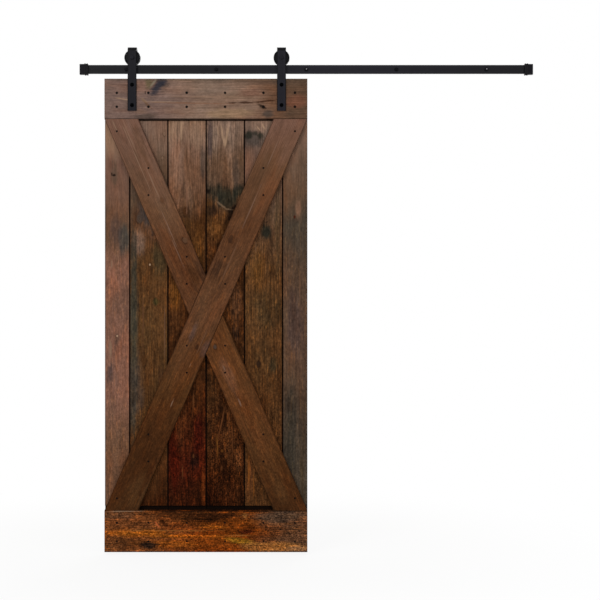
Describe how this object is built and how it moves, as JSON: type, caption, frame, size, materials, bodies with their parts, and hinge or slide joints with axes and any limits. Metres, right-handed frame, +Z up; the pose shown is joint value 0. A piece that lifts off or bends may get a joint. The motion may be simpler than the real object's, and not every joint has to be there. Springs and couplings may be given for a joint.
{
  "type": "sliding barn door",
  "caption": "Sliding plank door with an X brace, hung on bent-strap hangers whose grooved wheels roll along a flat wall track with spacers and end stops.",
  "frame": {"origin": "on the wall's face, at the centre of the middle spacer's back face, on the axis of the middle lag bolt and on the track's centreline", "axes": "+X along the track, to the right as seen from the room; +Y from the room into the wall; +Z up"},
  "size_m": [2.044, 0.1334, 2.2766],
  "materials": {
    "plank_wood": "stained rough-sawn softwood, matte",
    "rail_wood": "stained rough-sawn softwood, matte",
    "brace_wood": "stained rough-sawn softwood, matte",
    "black_steel": "matte black powder coat",
    "black_rubber": "matte black rubber",
    "black_nylon": "matte black nylon",
    "bearing_steel": "bright steel",
    "screw_steel": "dark oxide"
  },
  "bodies": {
    "track": {"track_bar": "black_steel", "track_spacer_1": "black_steel", "track_spacer_2": "black_steel", "track_spacer_3": "black_steel", "track_spacer_4": "black_steel", "track_spacer_5": "black_steel", "lag_bolts": "black_steel", "lag_washers": "black_steel", "stop_cap_left": "black_steel", "stop_bumper_left": "black_rubber", "stop_set_screws_left": "black_steel", "stop_cap_right": "black_steel", "stop_bumper_right": "black_rubber", "stop_set_screws_right": "black_steel"},
    "door": {"plank_1": "plank_wood", "plank_2": "plank_wood", "plank_3": "plank_wood", "plank_4": "plank_wood", "plank_5": "plank_wood", "plank_6": "plank_wood", "top_rail": "rail_wood", "bottom_rail": "rail_wood", "brace_long": "brace_wood", "brace_upper": "brace_wood", "brace_lower": "brace_wood", "top_rail_screws": "screw_steel", "bottom_rail_screws": "screw_steel", "brace_screws": "screw_steel", "strap_left": "black_steel", "axle_bolt_left": "black_steel", "axle_bushes_left": "bearing_steel", "axle_washer_left": "black_steel", "axle_nut_left": "black_steel", "bearing_inner_left": "bearing_steel", "strap_bolts_left": "black_steel", "strap_washers_left": "black_steel", "strap_nuts_left": "black_steel", "strap_right": "black_steel", "axle_bolt_right": "black_steel", "axle_bushes_right": "bearing_steel", "axle_washer_right": "black_steel", "axle_nut_right": "black_steel", "bearing_inner_right": "bearing_steel", "strap_bolts_right": "black_steel", "strap_washers_right": "black_steel", "strap_nuts_right": "black_steel"},
    "wheel_left": {"wheel_left": "black_nylon", "bearing_outer_left": "bearing_steel", "bearing_balls_left": "bearing_steel"},
    "wheel_right": {"wheel_right": "black_nylon", "bearing_outer_right": "bearing_steel", "bearing_balls_right": "bearing_steel"}
  },
  "joints": [
    {"name": "door_slide", "type": "slide", "parent": "track", "child": "door", "axis": [1, 0, 0], "range_m": [-0.174, 1.07]},
    {"name": "wheel_left_spin", "type": "hinge", "parent": "door", "child": "wheel_left", "pos_m": [-0.7846, -0.048, 0.0518], "axis": [0, 1, 0], "continuous": true},
    {"name": "wheel_right_spin", "type": "hinge", "parent": "door", "child": "wheel_right", "pos_m": [-0.1116, -0.048, 0.0518], "axis": [0, 1, 0], "continuous": true}
  ],
  "couplings": [
    {"joint": "wheel_left_spin", "follows": "door_slide", "rad_per_m": 31.746},
    {"joint": "wheel_right_spin", "follows": "door_slide", "rad_per_m": 31.746}
  ]
}
